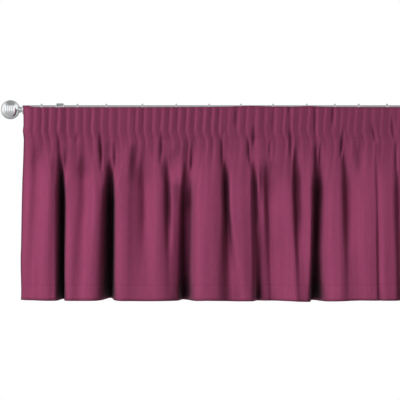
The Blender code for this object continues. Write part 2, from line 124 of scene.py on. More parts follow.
# A fold of the skirt is a valley between two rounded fronts, or a ridge where its depth is negative.
# They stand in the order of their places. Millimetres: its place from the cloth's
# left end at the top of the skirt, half way down it and at the hem, the drop where it opens and over
# what length it deepens, its depth half way down, low down and at the hem, half the width of its left
# and right wall, how far its left and right shoulders spread, and how much wider it is at the hem.
Fold = namedtuple(
    "Fold", "top middle hem opens over depth low_depth hem_depth left right left_soft right_soft hem_wide"
)
FOLDS = (
    Fold(32, 31, 24, 58, 60, 9, 7, 5, 10, 13, 12, 34, 1),
    Fold(54, 54, 52, 64, 60, -5.5, -4.4, -4, 11, 8, 14, 10, 1),
    Fold(75.5, 76, 76.3, 88, 110, 68, 75, 86, 4.0, 7.0, 6.5, 13, 0.82),
    Fold(125, 128, 113, 80, 70, 20, 10.5, 5, 14, 11, 30, 14, 1),
    Fold(182, 177.5, 174.5, 98, 114, 80, 96, 104, 8.5, 9, 16, 14, 1.05),
    Fold(234, 232, 228, 56, 60, 7, 6, 4, 12, 14, 10, 12, 1),
    Fold(249, 253, 253, 76, 90, 27, 18, 9, 13, 15, 30, 30, 1.5),
    Fold(298, 299, 303, 92, 80, 19, 2, 0, 5, 6, 13, 12, 1),
    Fold(320, 320, 320, 110, 110, 15, 23, 17, 38, 16, 38, 14, 1),
    Fold(339, 334.5, 330, 103, 104, 44, 51, 74, 6.5, 22, 20, 20, 0.92),
    Fold(346, 345, 343, 118, 90, 11, 16, 8, 8, 6.5, 12, 9, 1),
    Fold(421, 421.6, 432, 94, 84, 33, 30, 24, 6.5, 6, 20, 36, 3.0),
    Fold(480, 482.5, 486, 96, 80, 27, 11, 12, 6, 5.5, 27, 11, 1.1),
    Fold(498, 496, 491, 100, 110, 22, 38, 40, 9, 55, 12, 64, 1),
    Fold(506, 512, 519, 96, 76, 18, 13, 9, 8, 20, 17, 46, 1),
    Fold(545, 542, 544, 180, 120, 2, 9, 12, 26, 18, 28, 22, 1),
    Fold(566, 568.5, 580, 78, 84, 30, 14, 7, 5.5, 14, 22, 38, 2),
    Fold(600, 600, 598, 120, 80, 6, 10, 14, 24, 14, 22, 14, 1),
    Fold(610, 611.5, 607, 92, 92, 51, 51, 96, 6, 16.5, 10, 36, 1),
    Fold(672, 676.5, 683, 86, 96, 27, 15, 11, 10, 19, 30, 50, 1.6),
    Fold(733, 738, 740, 66, 130, 4, 7, 6, 4, 6, 10, 8, 1),
    Fold(778, 784, 787, 92, 110, 19, 15, 16, 9, 12, 30, 18, 1),
    Fold(828, 824, 820, 88, 100, 42, 46, 50, 7, 12, 18, 20, 1),
    Fold(866, 868, 872, 76, 90, 9, 6, 6, 7, 7, 14, 14, 1),
    Fold(909, 905, 899, 96, 84, 30, 20, 12, 6, 10, 18, 18, 1.2),
    Fold(953, 958, 962, 88, 100, 54, 58, 62, 7, 14, 18, 20, 1),
    Fold(1003, 1002, 1000, 84, 90, 12, 8, 6, 7, 7, 18, 14, 1),
    Fold(1041, 1045, 1049, 92, 96, 36, 38, 40, 6.5, 11, 18, 20, 1),
    Fold(1089, 1085, 1082, 98, 80, 22, 10, 6, 6, 9, 16, 20, 1.3),
    Fold(1128, 1131, 1134, 86, 104, 54, 56, 58, 7, 12, 18, 18, 1),
    Fold(1176, 1174, 1172, 86, 84, 14, 10, 8, 7, 8, 16, 14, 1),
    Fold(1218, 1222, 1224, 86, 100, 42, 44, 46, 7, 12, 18, 18, 1),
    Fold(1268, 1269, 1274, 60, 50, 7, 5, 4, 9, 9, 12, 12, 1),
)
PLACE_DROPS = (85, 185, 400)
DEPTH_DROPS = (220, 300, 400)
NARROW_SHARE = 0.60

# A crease is a short tuck where pleats run together, and where it is wide, the shaded shoulder that the
# cloth drops to beside it. A negative depth makes a soft ridge. Millimetres: its place at its upper and
# lower end, the drops of those ends, its depth, and its half width to the left and to the right.
Crease = namedtuple("Crease", "upper lower start end depth left right")
CREASES = (
    Crease(73, 79, 50, 130, 5.5, 4.4, 3.4),
    Crease(76, 78, 90, 170, 3.5, 9, 12),
    Crease(87, 87, 84, 156, 7, 5, 7),
    Crease(100, 99, 84, 300, 9, 18, 20),
    Crease(111, 112, 52, 76, 3, 3.4, 2.2),
    Crease(157, 157, 120, 224, 4, 16, 14),
    Crease(159, 162, 46, 136, 9, 3.2, 2.1),
    Crease(176, 178, 70, 168, 7, 15, 11),
    Crease(189.5, 190, 64, 164, 8, 3.2, 2.4),
    Crease(218, 217, 60, 156, -5, 10, 9),
    Crease(287, 285, 50, 126, 6.5, 3, 2.4),
    Crease(294, 293, 54, 170, 7, 6, 12),
    Crease(310, 310, 84, 160, 10, 9, 14),
    Crease(345, 345, 62, 172, 9, 16, 15),
    Crease(351, 350, 76, 150, 6.5, 3.8, 2.8),
    Crease(413.5, 414, 46, 132, 4.8, 3, 2.4),
    Crease(418, 418, 60, 172, 6, 8, 10),
    Crease(443, 443, 0, 44, 4, 3.9, 2.5),
    Crease(468, 471, 60, 122, 6, 3.4, 2.2),
    Crease(474, 475, 56, 140, 5, 4, 8),
    Crease(478, 480, 170, 440, 4, 16, 9),
    Crease(479, 481, 38, 86, 6, 3.6, 2.5),
    Crease(513, 513, 66, 112, 4, 3.4, 2.2),
    Crease(520, 521, 12, 50, 2, 4.2, 2.7),
    Crease(554, 554, -12, 18, 3, 3.9, 2.5),
    Crease(556, 557, 34, 112, 5.2, 3.4, 2.2),
    Crease(570, 570, 60, 134, 3.2, 8, 9),
    Crease(576, 580, 150, 440, 4, 20, 18),
    Crease(606, 609, -20, 84, 3.7, 3.6, 2.6),
    Crease(609, 610, 74, 124, 4.8, 3.6, 2.6),
    Crease(613, 613, 62, 144, 5, 8, 10),
    Crease(619, 618, 70, 144, 7, 3.6, 2.3),
    Crease(645, 645, -16, 48, 4.8, 3.4, 2.2),
    Crease(666, 660, 44, 112, 5.6, 3.2, 2.4),
    Crease(669, 667, 52, 150, 6, 5, 10),
    Crease(700, 701, 58, 160, 4.6, 10, 9),
    Crease(724, 735, 30, 78, 6, 3.9, 2.5),
    Crease(765, 773, 14, 72, 4, 3.9, 2.5),
    Crease(776, 777, 66, 144, 4.4, 3.6, 2.4),
    Crease(812, 816, 10, 60, 3, 3.6, 2.3),
    Crease(840, 838, 52, 122, 8.5, 3.5, 2.2),
    Crease(899, 901, 60, 124, 8, 3.4, 2.2),
    Crease(930, 931, -10, 40, 4, 3.6, 2.3),
    Crease(981, 979, 46, 114, 8, 3.6, 2.3),
    Crease(1022, 1024, 16, 60, 3, 3.6, 2.3),
    Crease(1066, 1064, 54, 130, 8.5, 3.5, 2.2),
    Crease(1110, 1111, 60, 104, 6, 3.4, 2.2),
    Crease(1151, 1149, 48, 118, 8, 3.5, 2.2),
    Crease(1203, 1205, 56, 126, 8, 3.5, 2.2),
    Crease(1240, 1242, 4, 48, 4, 3.6, 2.3),
)

# How far the points have gone from their pleat towards their fold, by the drop in millimetres.
GATHER_DROPS = (0, 66, 90, 120, 160, 200, 400)
GATHER_SHARES = (0.0, 0.0, 0.14, 0.42, 0.80, 1.0, 1.0)

# How far the ridges of the pleats are from an even spacing, by their place in millimetres.
SHIFT_PLACES = (
    5, 26, 41, 56, 74, 92, 126, 143, 180, 215, 400, 412, 430, 446,
    465, 485, 505, 526, 542, 558, 594, 612, 626, 652, 690, 820, 960, 1100, 1250,
)
PLEAT_SHIFTS = (
    1, 3, 1, -2, -2.3, -1, -2, -3, -1, 1.2, 1, -1.7, -0.4, 2.7,
    2.2, 4.5, 7.5, 9.5, 7.5, 7, 6.5, 7, 5, 6, -1, 2, -1.5, 2, -1,
)

# The height of the pleats as a share of their greatest, by their place in millimetres.
HEIGHT_PLACES = (0, 230, 480, 620, 900, 1300)
PLEAT_HEIGHTS = (1.0, 0.95, 0.80, 0.45, 0.50, 0.75)

# How much of the pleats' depth is left, their sideways sway, and where the cloth's front is, by the drop.
# The heading leans out a little at its top.
FADE_DROPS = (0, 58, 68, 80, 100, 130, 170, 400)
FADE_SHARES = (1.0, 1.0, 0.85, 0.62, 0.40, 0.22, 0.0, 0.0)
SWAY_DROPS = (0, 20, 44, 52, 60, 68, 80, 110, 155, 400)
SWAY_SHIFTS = (1.6, 0.4, -1.6, -1.2, 1.8, 5.0, 5.8, 4.2, 1.5, 0.0)
FRONT_DROPS = (0, 58, 90, 130, 200, 400)
FRONT_DEPTHS = (-112.0, -103.3, -101.5, -102.5, -106.5, -115.0)

# How far the two ends of the cloth swing out sideways, by the drop in millimetres.
END_DROPS = (0, 17, 37, 48, 66, 110, 151, 193, 296, 313, 337, 379, 400)
END_SHIFTS = (-3.4, -2.8, -3.0, -4.6, -2.8, -4.8, -6.8, -7.4, -8.6, -9.4, -9.0, -7.6, -8.0)

# Where the cloth's top edge stands up: place, height and half width in millimetres.
TOP_RISES = (
    (6, 3.6, 12), (470, 1.6, 30), (505, 1.3, 150), (592, 1.5, 18), (905, 1.6, 25), (1190, 1.5, 20),
)

# How much lower than its drop the hem hangs: by its place, in millimetres, and as a share of how far back
# its folds go there.
SAG_PLACES = (0, 60, 110, 150, 175, 200, 240, 300, 340, 380, 400, 440, 460, 560, 600, 640, 700, 760, 1300)
HEM_SAGS = (0.8, 1.8, 2.2, 1.8, 0.4, 2.4, 2.9, 2.8, 3.0, 1.9, 2.2, 4.0, 3.4, 4.0, 5.6, 3.6, 1.6, 1.9, 2.0)
FOLD_SAG = 0.02

# Drops of the rows of points down the cloth, close together where the pleats run into the folds.
ROW_STRETCHES = ((0, 48, 9), (48, 165, 37), (165, 362, 11), (362, 400, 6))

# The cloth's two tones and its thread, the tape's, and the plates of the metal pieces.
PLUM = (0.261, 0.0484, 0.1145)
DEEP_PLUM = (0.212, 0.0384, 0.0905)
PLUM_THREAD = (0.20, 0.032, 0.078)
PLUM_STITCH_DROPS = (0.0045, 0.0625, 0.3665, 0.3945)
TAPE_WHITE = (0.80, 0.78, 0.74)
TAPE_GREY = (0.70, 0.68, 0.64)
TAPE_THREAD = (0.60, 0.58, 0.54)
TAPE_STITCH_DROPS = (0.009, 0.033, 0.058)
CHROME = (0.80, 0.81, 0.83)
# A lighter copy of the chrome for the tube: painted light, so that the thin pole shows lighter.
TUBE_CHROME_PAINTED_LIGHTER = (0.95, 0.94, 0.95)
ZINC = (0.62, 0.62, 0.61)

# The weave, in metres of flat cloth: how its slubs and its streaks are drawn out across and down,
# what share of the tone each gives, and the lock stitches of its sewn rows. The streaks are random tone
# and also painted light and shade standing for fine soft folds.
WEAVE_ROUGHNESS = 0.88
WEAVE_SPECULAR = 0.22
SHEEN_WEIGHT = 0.03
SHEEN_ROUGHNESS = 0.45
SLUB_STRETCH = (420, 60, 1)
STREAK_STRETCH = (85, 4, 1)
SLUB_SHARE = 0.35
STREAK_SHARE = 0.65
TONE_RANGE = (0.30, 0.62)
THREAD_RELIEF = 0.3
WEAVE_HEIGHT = 0.0003
STITCH_WIDTH = 0.0012
STITCH_LENGTH = 0.0032
STITCH_GAP = 0.0007

# Shade painted into the cloth's colour, darker where less light gets in. SHADE_REACH is how far round a
# point is looked at, and the openness runs from 0 in a closed fold. The painted shade is strongest deep in a
# fold, stronger still at the hem, and lies over the heading's pleats but for their two ends. The thin top and
# side edges have the heading's painted shade this many times over.
SHADE_REACH = 0.050
SHADE_OPENNESS = (0.0, 0.62)
PAINTED_FOLD_SHADE = 0.941
PAINTED_HEM_SHADE = 0.36
HEM_SHADE_DROPS = (0.340, 0.400)
PAINTED_HEADING_SHADE = 0.19
HEADING_SHADE_DROPS = (0.080, 0.160)
END_UNSHADED = 0.005
END_SHADE_REACH = 0.020
TOP_EDGE_TIMES = 3
TOP_EDGE_DROPS = (0.0, 0.007)
SIDE_EDGE_TIMES = 2.6
SIDE_EDGE_REACH = (0.0015, 0.006)
# The painted shade's colour, as a share of the dark tone.
PAINTED_SHADE_SHARE = 0.1

# The plate on the metal: smears in its polish and fine pits, by the size of their noise.
SMEAR_SCALE = 38.0
SMEAR_RANGE = (0.35, 0.75)
PIT_SCALE = 900.0
PIT_BUMP = 0.02
PIT_HEIGHT = 0.0002

# The studio: its floor, the light that the plate mirrors from below to above, the dim uprights in it, and
# the lamps with their power, size, place and target.
FLOOR_SIZE = 9
FLOOR_PLACE = (0.55, -0.5, -1.85)
FLOOR_COLOUR = (0.86, 0.86, 0.85)
FLOOR_ROUGHNESS = 0.7
FLOOR_SPECULAR = 0.2
FLOOR_GLOW = 0.72
FILL_COLOUR = (0.96, 0.97, 1.0)
FILL_STRENGTH = 0.02
MIRRORED_LEVELS = ((0.0, 0.50), (0.30, 0.72), (0.42, 1.15), (0.82, 1.10), (0.91, 0.44), (1.0, 0.34))
WALL_SIDE = (0.10, 0.85)
WALL_SIDE_LEVELS = (1.0, 0.48)
UPRIGHT_SHIFT = 0.22
UPRIGHT_SPACING = 0.19
UPRIGHT_WIDTH = 0.06
UPRIGHT_DIMMING = -0.42
ROOM_SIDE = -0.2
SOFT_LIGHTS = (
    ("soft key from the left", 292, (2.4, 2.0), (-1.75, -2.75, 2.75), (0.35, -0.1, -0.2)),
    ("soft light behind", 30, (2.6, 1.4), (0.9, 2.4, 0.7), (0.58, -0.1, -0.15)),
    ("soft light at the right", 24, (1.2, 1.6), (3.4, 0.55, 0.5), (1.0, -0.02, -0.15)),
)
CAMERA_PLACE = (0.2935, -3.12, -0.1675)
CAMERA_LENS = 130.4
CAMERA_SENSOR = 36


# ---------------------------------------------------------------- the lines of the cloth


def smooth(share):
    """The usual smooth step of a share, from 0 to 1."""
    share = np.clip(share, 0, 1)
    return share * share * (3 - 2 * share)


def uneven(place, first, second, third):
    """A slow unevenness of about -1 to 1 along the cloth, from three waves of these lengths."""
    turn = 2 * math.pi * place
    waves = np.sin(turn / first + 0.6) + np.sin(turn / second + 2.1) + np.sin(turn / third + 4.0)
    return waves / 2.4


def end_return(place, depth):
    """How far the cloth turns back towards the wall near its two ends, most of all at its very edges."""
    from_end = np.minimum(place, CLOTH_WIDTH - place)
    curl = EDGE_CURL * (1 - np.clip(from_end / CURL_LENGTH, 0, 1)) ** CURL_POWER
    return depth * (1 - np.clip(from_end / RETURN_LENGTH, 0, 1)) ** 2 + curl


def pleat_place(share):
    """Where a share of the cloth's flat width is along the heading."""
    return share * CLOTH_WIDTH + np.interp(share * CLOTH_WIDTH * 1000, SHIFT_PLACES, PLEAT_SHIFTS) / 1000


def pleat_relief(place, drop):
    """How far the pencil pleats stand out at these places: steep to the left, gentle to the right."""
    even = np.linspace(0, 1, 20 * PLEAT_COUNT + 1)
    share = np.interp(place, pleat_place(even), even)
    phase = np.mod(share * PLEAT_COUNT - PLEAT_START, 1)
    up = np.minimum(phase / PLEAT_RIDGE, (1 - phase) / (1 - PLEAT_RIDGE))
    ridge = (1 - RIDGE_ROUND) * up + RIDGE_ROUND * np.sin(math.pi / 2 * up)
    stray = REACH_STRAY * uneven(share, 0.053, 0.034, 0.026) * (drop > REACH_DROP)
    reach = drop * 1000 * (1 + stray)
    left = np.interp(reach, FADE_DROPS, FADE_SHARES)
    height = np.interp(place * 1000, HEIGHT_PLACES, PLEAT_HEIGHTS)
    height = height * (0.86 + 0.30 * uneven(share, 0.21, 0.061, 0.039))
    return PLEAT_DEPTH * left * height * ridge


def fold_place(fold, drop):
    """A fold's place across at this drop, in metres from the cloth's left end."""
    return np.interp(drop * 1000, PLACE_DROPS, (fold.top, fold.middle, fold.hem)) / 1000


def fold_relief(fold, place, drop):
    """How far a fold goes back at these places: from a narrow start it deepens and widens downwards."""
    down = (drop * 1000 - fold.opens) / fold.over
    at_hem = np.clip((drop / CLOTH_DROP - HALF_WAY) / (1 - HALF_WAY), 0, 1)
    grown = (NARROW_SHARE + (1 - NARROW_SHARE) * smooth(down)) * (1 + (fold.hem_wide - 1) * at_hem)
    depth = smooth(down) * np.interp(drop * 1000, DEPTH_DROPS, fold[5:8]) / 1000
    off = (place - fold_place(fold, drop)) * 1000
    wall = np.where(off < 0, fold.left, fold.right) * grown
    slot = np.exp(-((np.abs(off) / wall) ** WALL_POWER))
    spread = np.exp(-((off / (np.where(off < 0, fold.left_soft, fold.right_soft) * grown)) ** 2))
    return depth * ((1 - SHOULDER_SHARE) * slot + SHOULDER_SHARE * spread)


def crease_relief(crease, place, drop):
    """How far a crease goes back at these places."""
    down = (drop * 1000 - crease.start) / (crease.end - crease.start)
    if not 0 < down < 1:
        return 0 * place
    off = place * 1000 - crease.upper - (crease.lower - crease.upper) * down
    wall = np.where(off < 0, crease.left, crease.right)
    return crease.depth / 1000 * math.sin(math.pi * down) ** CREASE_POWER * np.exp(-((off / wall) ** 2))


def front_depth(place, drop):
    """The depth of the cloth's front at these places across: its general front, pleats, folds and creases."""
    front = np.interp(drop * 1000, FRONT_DROPS, FRONT_DEPTHS) / 1000
    below = smooth((drop - TAPE_BOTTOM) / TURN_LENGTH)
    turned = HEADING_RETURN + (SKIRT_RETURN - HEADING_RETURN) * below
    depth = front + end_return(place, turned) + FRONT_STRAY * below * uneven(place, 0.41, 0.27, 0.13)
    for fold in FOLDS:
        depth = depth + fold_relief(fold, place, drop)
    for crease in CREASES:
        depth = depth + crease_relief(crease, place, drop)
    return depth


def sag(place, depth, drop):
    """How much lower than its drop the cloth hangs at these places, and most of all at the hem."""
    at_hem = np.interp(place * 1000, SAG_PLACES, HEM_SAGS) / 1000
    gone_back = depth - np.interp(drop * 1000, FRONT_DROPS, FRONT_DEPTHS) / 1000
    return (at_hem + FOLD_SAG * gone_back) * (drop / CLOTH_DROP) ** SAG_POWER


def column_places(shares):
    """Places across half way down, spaced along the folds there and closer where they bend."""
    place = np.arange(0, CLOTH_WIDTH + LINE_STEP, LINE_STEP)
    depth = front_depth(place, COLUMNS_DROP)
    lengths = np.hypot(np.diff(place), np.diff(depth))
    bends = np.abs(np.gradient(np.arctan2(np.diff(depth), np.diff(place))))
    along = np.concatenate([[0], np.cumsum(lengths + BEND_REACH * bends)])
    blocks = np.linspace(0, 1, BLOCKS + 1)
    share = np.interp(along, np.interp(blocks * CLOTH_WIDTH, place, along), blocks)
    return np.interp(shares, share, place)


def cloth_line(shares, columns, drop):
    """The sheet's front line at this drop, each point between its pleat and its fold."""
    gathered = np.interp(drop * 1000, GATHER_DROPS, GATHER_SHARES)
    half_way = [0, *(fold_place(fold, COLUMNS_DROP) for fold in FOLDS), CLOTH_WIDTH]
    here = [0, *(fold_place(fold, drop) for fold in FOLDS), CLOTH_WIDTH]
    place = (1 - gathered) * pleat_place(shares) + gathered * np.interp(columns, half_way, here)
    sway = np.interp(drop * 1000, SWAY_DROPS, SWAY_SHIFTS) / 1000
    inside = np.sin(math.pi * np.clip(shares, 0, 1)) ** SWAY_POWER
    swayed = place + (1 - gathered) * sway * inside * (0.85 + 0.3 * uneven(place, 0.29, 0.077, 0.043))
    depth = front_depth(swayed, drop) - pleat_relief(place, drop)
    rise = sum(h * np.exp(-(((place * 1000 - at) / half) ** 2)) for at, h, half in TOP_RISES) / 1000
    height = CLOTH_TOP - drop + rise * (1 - smooth(drop / RISE_FADE)) - sag(place, depth, drop)
    end_shift = np.interp(drop * 1000, END_DROPS, END_SHIFTS) / 1000
    near_left = np.exp(-((place / FLARE_REACH) ** 2))
    near_right = np.exp(-(((CLOTH_WIDTH - place) / FLARE_REACH) ** 2))
    across = CLOTH_LEFT + swayed + end_shift * (near_left - near_right)
    return np.stack([across, depth, height], axis=1)


def behind(line, distance):
    """The line moved this far back from its own front, with its segments kept parallel."""
    steps = np.diff(line[:, :2], axis=0)
    normals = np.stack([-steps[:, 1], steps[:, 0]], axis=1) / np.linalg.norm(steps, axis=1)[:, None]
    before = np.concatenate([normals[:1], normals])
    after = np.concatenate([normals, normals[-1:]])
    middle = (before + after) / (1 + np.sum(before * after, axis=1))[:, None]
    moved = line.copy()
    moved[:, :2] += distance * middle
    return moved


# ---------------------------------------------------------------- materials


def node(tree, kind, **settings):
    """A new node of this kind, with these settings."""
    made = tree.nodes.new(kind)
    for name, value in settings.items():
        setattr(made, name, value)
    return made


def value_node(tree, operation, first, second=None, third=None):
    """A Math node of this operation, its inputs numbers or other nodes' outputs."""
    made = node(tree, "ShaderNodeMath", operation=operation)
    for socket, given in zip(made.inputs, (first, second, third)):
        if isinstance(given, bpy.types.NodeSocket):
            tree.links.new(given, socket)
        elif given is not None:
            socket.default_value = given
    return made.outputs[0]


def mapped(tree, value, reach, levels, kind="LINEAR"):
    """The value carried from one range to another."""
    made = node(tree, "ShaderNodeMapRange", interpolation_type=kind)
    for name, number in zip(("From Min", "From Max", "To Min", "To Max"), (*reach, *levels)):
        made.inputs[name].default_value = number
    tree.links.new(value, made.inputs["Value"])
    return made.outputs[0]


def eased(tree, value, reach, levels):
    """The value carried from one range to another, slowly at both ends."""
    return mapped(tree, value, reach, levels, "SMOOTHSTEP")


def mixed_colour(tree, share, first, second):
    """This share of the second colour in the first, each a colour or another node's output."""
    made = node(tree, "ShaderNodeMix", data_type="RGBA")
    for socket, given in ((made.inputs["A"], first), (made.inputs["B"], second)):
        if isinstance(given, bpy.types.NodeSocket):
            tree.links.new(given, socket)
        else:
            socket.default_value = (*given, 1)
    tree.links.new(share, made.inputs["Factor"])
    return made.outputs["Result"]


def noise(tree, place, scale, detail):
    """Noise at these places, finer the greater its scale."""
    made = node(tree, "ShaderNodeTexNoise")
    made.inputs["Scale"].default_value = scale
    made.inputs["Detail"].default_value = detail
    tree.links.new(place, made.inputs["Vector"])
    return made.outputs[0]


def drawn_out_noise(tree, place, stretch, detail):
    """Noise that is longer down the flat cloth than across it."""
    mapping = node(tree, "ShaderNodeMapping")
    mapping.inputs["Scale"].default_value = stretch
    tree.links.new(place, mapping.inputs[0])
    return noise(tree, mapping.outputs[0], 1.0, detail)


def add_bump(tree, surface, relief, strength, height):
    """A low relief in the surface's shading."""
    bump = node(tree, "ShaderNodeBump")
    bump.inputs["Strength"].default_value = strength
    bump.inputs["Distance"].default_value = height
    tree.links.new(relief, bump.inputs["Height"])
    tree.links.new(bump.outputs[0], surface.inputs["Normal"])


def new_finish(name, colour, roughness, metallic):
    """A material of this colour, with its node tree and its shader."""
    material = bpy.data.materials.new(name)
    material.use_nodes = True
    surface = material.node_tree.nodes["Principled BSDF"]
    surface.inputs["Base Color"].default_value = (*colour, 1)
    surface.inputs["Roughness"].default_value = roughness
    surface.inputs["Metallic"].default_value = metallic
    return material, material.node_tree, surface


def sewn_rows(tree, across, down, drops):
    """1 on the stitches of machine rows at these drops, and 0 elsewhere."""
    sewn = None
    for drop in drops:
        off_row = value_node(tree, "ABSOLUTE", value_node(tree, "SUBTRACT", down, drop))
        on_row = value_node(tree, "LESS_THAN", off_row, STITCH_WIDTH / 2)
        sewn = on_row if sewn is None else value_node(tree, "MAXIMUM", sewn, on_row)
    along = value_node(tree, "PINGPONG", across, STITCH_LENGTH / 2)
    return value_node(tree, "MULTIPLY", sewn, value_node(tree, "GREATER_THAN", along, STITCH_GAP / 2))


def painted_cloth_shade(tree, across, down, painted_heading_shade):
    """The share of painted shade: deep in folds, most of all low down, under the heading and at its edges."""
    # Painted shade deep in the folds, by how closed the cloth is round each point, and more towards the hem.
    around = node(tree, "ShaderNodeAmbientOcclusion", samples=8, only_local=True)
    around.inputs["Distance"].default_value = SHADE_REACH
    hem_painted_shade = eased(tree, down, HEM_SHADE_DROPS, (0.0, PAINTED_HEM_SHADE))
    openness = value_node(tree, "SUBTRACT", around.outputs["AO"], hem_painted_shade)
    fold_painted_shade = mapped(tree, openness, SHADE_OPENNESS, (PAINTED_FOLD_SHADE, 0.0))

    # Painted shade over the heading, none at its very ends.
    heading = eased(tree, down, HEADING_SHADE_DROPS, (painted_heading_shade, 0.0))
    from_end = value_node(tree, "MINIMUM", across, value_node(tree, "SUBTRACT", FLAT_WIDTH, across))
    inside = value_node(
        tree, "MULTIPLY_ADD", from_end, 1 / END_SHADE_REACH, -END_UNSHADED / END_SHADE_REACH
    )
    inside.node.use_clamp = True
    heading = value_node(tree, "MULTIPLY", heading, inside)
    # A painted dark line along the cloth's top edge.
    top_edge_painted_shade = eased(tree, down, TOP_EDGE_DROPS, (TOP_EDGE_TIMES * painted_heading_shade, 0.0))
    heading = value_node(tree, "MAXIMUM", heading, top_edge_painted_shade)
    # A painted dark line along the cloth's side edges.
    side_edge_painted_shade = eased(tree, from_end, SIDE_EDGE_REACH, (SIDE_EDGE_TIMES * painted_heading_shade, 0.0))
    heading = value_node(tree, "MAXIMUM", heading, side_edge_painted_shade)

    in_the_open = value_node(tree, "SUBTRACT", 1.0, fold_painted_shade)
    return value_node(tree, "MULTIPLY_ADD", heading, in_the_open, fold_painted_shade)


def woven_finish(name, tones, thread, weave_bump, stitch_drops, stitch_colour, painted_heading_shade=0.0):
    """Plain-woven cloth that follows the sheet's own flat sizes, with rows of machine stitches and painted
    shade.
    """
    light_tone, dark_tone = tones
    material, tree, surface = new_finish(name, light_tone, WEAVE_ROUGHNESS, 0.0)
    surface.inputs["Specular IOR Level"].default_value = WEAVE_SPECULAR
    surface.inputs["Sheen Weight"].default_value = SHEEN_WEIGHT
    surface.inputs["Sheen Roughness"].default_value = SHEEN_ROUGHNESS
    flat = node(tree, "ShaderNodeUVMap", uv_map="flat").outputs[0]
    parts = node(tree, "ShaderNodeSeparateXYZ")
    tree.links.new(flat, parts.inputs[0])
    across, down = parts.outputs[0], parts.outputs[1]

    slubs = drawn_out_noise(tree, flat, SLUB_STRETCH, 3.0)
    # Streaks drawn out down the cloth: random tone, and painted light and shade standing for fine soft folds.
    streaks = drawn_out_noise(tree, flat, STREAK_STRETCH, 2.0)
    streak_part = value_node(tree, "MULTIPLY", streaks, STREAK_SHARE)
    tone = value_node(tree, "MULTIPLY_ADD", slubs, SLUB_SHARE, streak_part)
    woven = mixed_colour(tree, mapped(tree, tone, TONE_RANGE, (0.0, 1.0)), dark_tone, light_tone)
    woven = mixed_colour(tree, sewn_rows(tree, across, down, stitch_drops), woven, stitch_colour)
    # The colour darkens towards this tone by the share of painted shade.
    painted_shade_tone = tuple(PAINTED_SHADE_SHARE * part for part in dark_tone)
    shade = painted_cloth_shade(tree, across, down, painted_heading_shade)
    tree.links.new(mixed_colour(tree, shade, woven, painted_shade_tone), surface.inputs["Base Color"])

    turns = 2 * math.pi / thread
    warp = value_node(tree, "SINE", value_node(tree, "MULTIPLY", across, turns))
    weft = value_node(tree, "SINE", value_node(tree, "MULTIPLY", down, turns))
    crossing = value_node(tree, "MULTIPLY", warp, weft)
    relief = value_node(tree, "MULTIPLY_ADD", crossing, THREAD_RELIEF, slubs)
    add_bump(tree, surface, relief, weave_bump, WEAVE_HEIGHT)
    return material


def plated_finish(name, colour, roughness, smear):
    """Bright plate with faint smears and fine pitting in its polish."""
    material, tree, surface = new_finish(name, colour, roughness, 1.0)
    place = node(tree, "ShaderNodeTexCoord").outputs["Object"]
    smears = noise(tree, place, SMEAR_SCALE, 4.0)
    spread = mapped(tree, smears, SMEAR_RANGE, (roughness, roughness + smear))
    tree.links.new(spread, surface.inputs["Roughness"])
    add_bump(tree, surface, noise(tree, place, PIT_SCALE, 2.0), PIT_BUMP, PIT_HEIGHT)
    return material


# ---------------------------------------------------------------- modelling steps


def start_clean():
    """Object mode with nothing selected."""
    if bpy.context.mode != "OBJECT":
        bpy.ops.object.mode_set(mode="OBJECT")
    bpy.ops.object.select_all(action="DESELECT")


def pick(piece):
    """Selects this piece alone and makes it the active one."""
    start_clean()
    piece.select_set(True)
    bpy.context.view_layer.objects.active = piece


def settle(piece):
    """Puts the piece's place into its mesh, so that its object sits at the origin."""
    pick(piece)
    bpy.ops.object.transform_apply(location=True, rotation=True, scale=True)


def dress(piece, name, material, slot, *nodes):
    """Names the piece, gives it its finish, and puts it in its nodes' place."""
    piece.name = name
    piece.data.name = name
    piece.data.materials.clear()
    piece.data.materials.append(material)
    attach(piece, "root")
    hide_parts(*nodes)
    return piece


def smooth_by_angle(piece, degrees):
    """Shades the piece smooth but for its edges sharper than this."""
    pick(piece)
    bpy.ops.object.shade_smooth_by_angle(angle=math.radians(degrees))


def turned_piece(stations, centre, direction, sides):
    """A turned piece, drawn out of one disc: each station is a distance along the axis and a radius.

    The axis starts at centre. direction is +1 or -1 along X.
    """
    start_clean()
    start, radius = stations[0]
    place = (centre[0] + direction * start, centre[1], centre[2])
    bpy.ops.mesh.primitive_circle_add(
        vertices=sides, radius=radius, fill_type="NGON", location=place, rotation=(0, math.pi / 2, 0)
    )
    piece = bpy.context.object
    bpy.ops.object.mode_set(mode="EDIT")
    bpy.ops.mesh.select_all(action="SELECT")
    for distance, wide in stations[1:]:
        step = direction * (distance - start)
        bpy.ops.mesh.extrude_region_move(TRANSFORM_OT_translate={"value": (step, 0, 0)})
        place = (place[0] + step, place[1], place[2])
        bpy.ops.transform.resize(value=(1, wide / radius, wide / radius), center_override=place)
        start, radius = distance, wide
    bpy.ops.mesh.select_all(action="SELECT")
    bpy.ops.mesh.normals_make_consistent(inside=False)
    bpy.ops.object.mode_set(mode="OBJECT")
    settle(piece)
    return piece


def apply_modifiers(piece):
    """Makes all of the piece's modifiers part of its mesh, in their order."""
    pick(piece)
    for modifier in list(piece.modifiers):
        bpy.ops.object.modifier_apply(modifier=modifier.name)


def joined_by_boolean(piece, other, operation):
    """Joins or cuts the piece with another, which is then gone."""
    modifier = piece.modifiers.new(operation.lower(), "BOOLEAN")
    modifier.operation = operation
    modifier.object = other
    apply_modifiers(piece)
    bpy.data.objects.remove(other)
    return piece


def bevel_all(piece, width, segments, degrees):
    """Rounds the piece's edges that are sharper than this."""
    modifier = piece.modifiers.new("rounded edges", "BEVEL")
    modifier.width = width
    modifier.segments = segments
    modifier.limit_method = "ANGLE"
    modifier.angle_limit = math.radians(degrees)
    apply_modifiers(piece)


